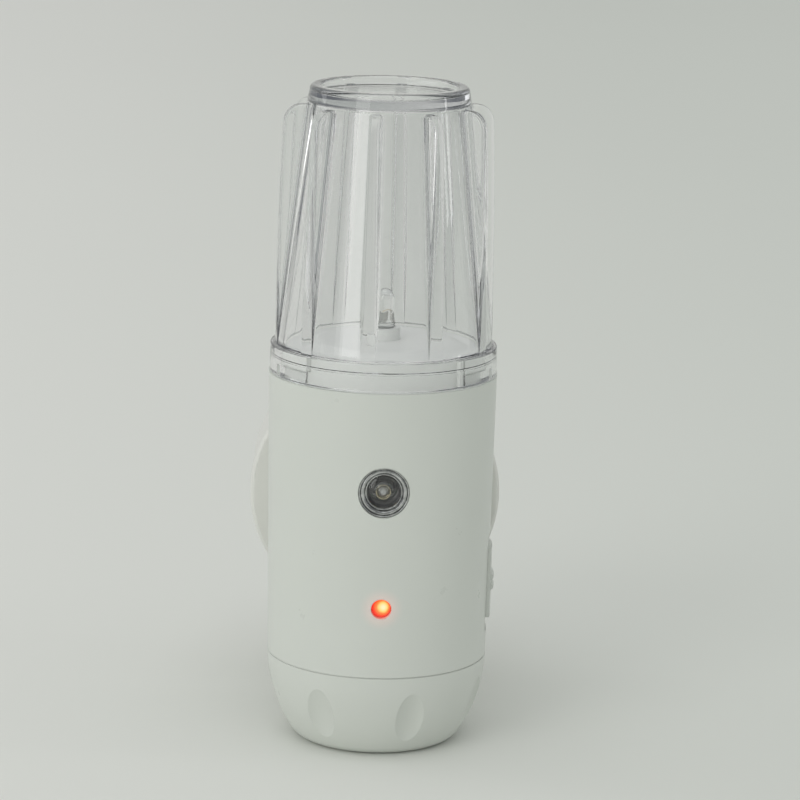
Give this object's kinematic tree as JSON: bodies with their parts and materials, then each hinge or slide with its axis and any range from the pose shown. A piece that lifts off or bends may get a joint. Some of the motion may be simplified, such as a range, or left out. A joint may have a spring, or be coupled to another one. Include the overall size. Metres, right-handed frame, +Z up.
{
  "type": "plug-in night light",
  "caption": "Plug-in night light: round white body with dusk sensor, charge lamp and slide switch, ribbed clear twist-off dome, twist-off battery cap and a two-pin wall plug.",
  "frame": {"origin": "centre of the plug face, midway between the roots of the two contact pins", "axes": "+Z up, +Y along the contact pins into the wall, the light faces -Y"},
  "size_m": [0.038, 0.075, 0.0961],
  "materials": {
    "shell_white": "smooth moulded ABS, lightly glossy",
    "plug_white": "smooth moulded thermoplastic",
    "pin_metal": "nickel-plated brass",
    "brass": "stamped brass",
    "steel": "zinc-plated",
    "platform_white": "smooth white moulding",
    "clear_epoxy": "water-clear epoxy lens",
    "lead_metal": "tinned",
    "board_green": "glass-fibre board with solder mask",
    "wire_red": "insulated",
    "window_clear": "clear moulded window",
    "shroud_black": "matt moulding",
    "indicator_red": "red epoxy lens, lit",
    "capacitor_red": "dipped",
    "capacitor_blue": "sleeved aluminium can",
    "component_black": "moulded epoxy",
    "resistor_tan": "lacquered",
    "resistor_blue": "flameproof lacquer",
    "holder_black": "moulded",
    "cell_green": "sleeved cell",
    "nickel": "nickel-plated spring steel",
    "wire_brown": "insulated",
    "switch_metal": "folded steel frame",
    "dome_clear": "clear moulded polystyrene, ribbed"
  },
  "bodies": {
    "housing": {"front_shell": "shell_white", "rear_shell": "shell_white", "plug_base": "plug_white", "pin_left": "pin_metal", "pin_right": "pin_metal", "pin_tabs": "brass", "base_screws": "steel", "shell_screws": "steel", "lamp_platform": "platform_white", "lamp_led": "clear_epoxy", "lamp_led_leads": "lead_metal", "lamp_board": "board_green", "lamp_wires": "wire_red", "sensor_window": "window_clear", "sensor_shroud": "shroud_black", "light_sensor": "clear_epoxy", "light_sensor_leads": "lead_metal", "indicator_led": "indicator_red", "indicator_leads": "lead_metal", "main_board": "board_green", "board_screws": "steel", "film_capacitor": "capacitor_red", "filter_capacitor": "capacitor_blue", "bridge_rectifier": "component_black", "control_chip": "component_black", "resistors": "resistor_tan", "fuse_resistor": "resistor_blue", "transistors": "component_black", "battery_holder": "holder_black", "battery_cells": "cell_green", "holder_contacts": "nickel", "battery_wires": "wire_red", "mains_wires": "wire_brown", "switch_body": "switch_metal"},
    "dome": {"dome": "dome_clear"},
    "cap": {"battery_cap": "shell_white", "cap_contact": "nickel", "cap_springs": "nickel"},
    "slider": {"switch_lever": "component_black", "slide_button": "shell_white"}
  },
  "joints": [
    {"name": "dome_twist", "type": "hinge", "parent": "housing", "child": "dome", "pos_m": [0, -0.0395, 0.0236], "axis": [0, 0, 1], "range_deg": [0, 30]},
    {"name": "cap_twist", "type": "hinge", "parent": "housing", "child": "cap", "pos_m": [0, -0.0395, -0.0181], "axis": [0, 0, -1], "range_deg": [0, 30]},
    {"name": "switch_slide", "type": "slide", "parent": "housing", "child": "slider", "axis": [0, 0, 1], "range_m": [-0.002, 0.002]}
  ]
}
